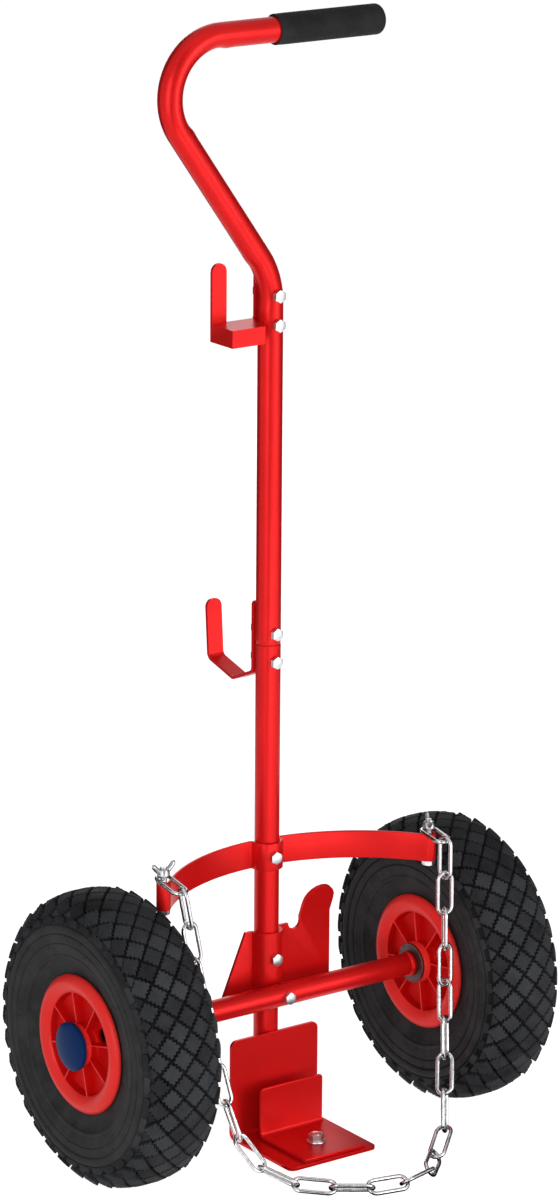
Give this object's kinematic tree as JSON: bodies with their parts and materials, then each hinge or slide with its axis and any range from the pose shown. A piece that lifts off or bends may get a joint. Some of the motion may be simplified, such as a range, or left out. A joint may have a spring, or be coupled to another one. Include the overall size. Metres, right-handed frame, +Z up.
{
  "type": "gas cylinder cart",
  "caption": "Hand cart for a gas cylinder: tube post with swan-neck handle, strap cradle with safety chain, toe plate, hose hooks, lance bracket and pneumatic wheels on one axle.",
  "frame": {"origin": "on the floor under the middle of the post, at the centre of its closed foot", "axes": "+X along the axle towards the cart's right wheel, -Y towards the cylinder side, +Z up along the post"},
  "size_m": [0.455, 0.3021, 0.9948],
  "materials": {
    "red_paint": "glossy red powder coat",
    "red_plastic": "satin moulded red plastic",
    "blue_plastic": "satin dark blue plastic",
    "tyre_rubber": "matt black tyre rubber",
    "grip_rubber": "matt black ribbed rubber",
    "zinc": "bright zinc plating"
  },
  "bodies": {
    "frame": {"upper_tube": "red_paint", "lower_tube": "red_paint", "upper_hook": "red_paint", "lower_hook": "red_paint", "cradle_strap": "red_paint", "lance_bracket": "red_paint", "axle_tube": "red_paint", "toe_plate": "red_paint", "bottle_stop": "red_paint", "hub_cap_left": "blue_plastic", "hub_cap_right": "blue_plastic", "hand_grip": "grip_rubber", "axle_bolt": "zinc", "axle_nut": "zinc", "axle_washer_left": "zinc", "axle_washer_right": "zinc", "bracket_bolt": "zinc", "bracket_nut": "zinc", "cradle_bolt": "zinc", "cradle_nut": "zinc", "upper_hook_bolt_1": "zinc", "upper_hook_bolt_2": "zinc", "lower_hook_bolt_1": "zinc", "lower_hook_bolt_2": "zinc", "stop_bolt": "zinc", "stop_nut": "zinc", "eye_bolt_left": "zinc", "eye_bolt_right": "zinc", "chain_end_left": "zinc", "chain_end_right": "zinc"},
    "wheel_left": {"tyre_left": "tyre_rubber", "rim_left": "red_plastic"},
    "wheel_right": {"tyre_right": "tyre_rubber", "rim_right": "red_plastic"},
    "wing_left": {"wing_nut_left": "zinc"},
    "wing_right": {"wing_nut_right": "zinc"},
    "chain": {"chain_link_01": "zinc", "chain_link_02": "zinc", "chain_link_03": "zinc", "chain_link_04": "zinc", "chain_link_05": "zinc", "chain_link_06": "zinc", "chain_link_07": "zinc", "chain_link_08": "zinc", "chain_link_09": "zinc", "chain_link_10": "zinc", "chain_link_11": "zinc", "chain_link_12": "zinc", "chain_link_13": "zinc", "chain_link_14": "zinc", "chain_link_15": "zinc", "chain_link_16": "zinc", "chain_link_17": "zinc", "chain_link_18": "zinc", "chain_link_19": "zinc", "chain_link_20": "zinc", "chain_link_21": "zinc", "chain_link_22": "zinc", "chain_link_23": "zinc"}
  },
  "joints": [
    {"name": "wheel_left_spin", "type": "hinge", "parent": "frame", "child": "wheel_left", "pos_m": [-0.182, -0.0246, 0.13], "axis": [1, 0, 0], "continuous": true},
    {"name": "wheel_right_spin", "type": "hinge", "parent": "frame", "child": "wheel_right", "pos_m": [0.182, -0.0246, 0.13], "axis": [1, 0, 0], "continuous": true},
    {"name": "wing_left_turn", "type": "hinge", "parent": "frame", "child": "wing_left", "pos_m": [-0.13823, -0.04154, 0.276], "axis": [0, 0, 1], "continuous": true},
    {"name": "wing_right_turn", "type": "hinge", "parent": "frame", "child": "wing_right", "pos_m": [0.12846, -0.06581, 0.275], "axis": [0, 0, 1], "continuous": true},
    {"name": "chain_swing", "type": "hinge", "parent": "frame", "child": "chain", "pos_m": [-0.13999, -0.07288, 0.26568], "axis": [-0.9958, 0.0913, -0.0105], "range_deg": [0, 60]}
  ]
}
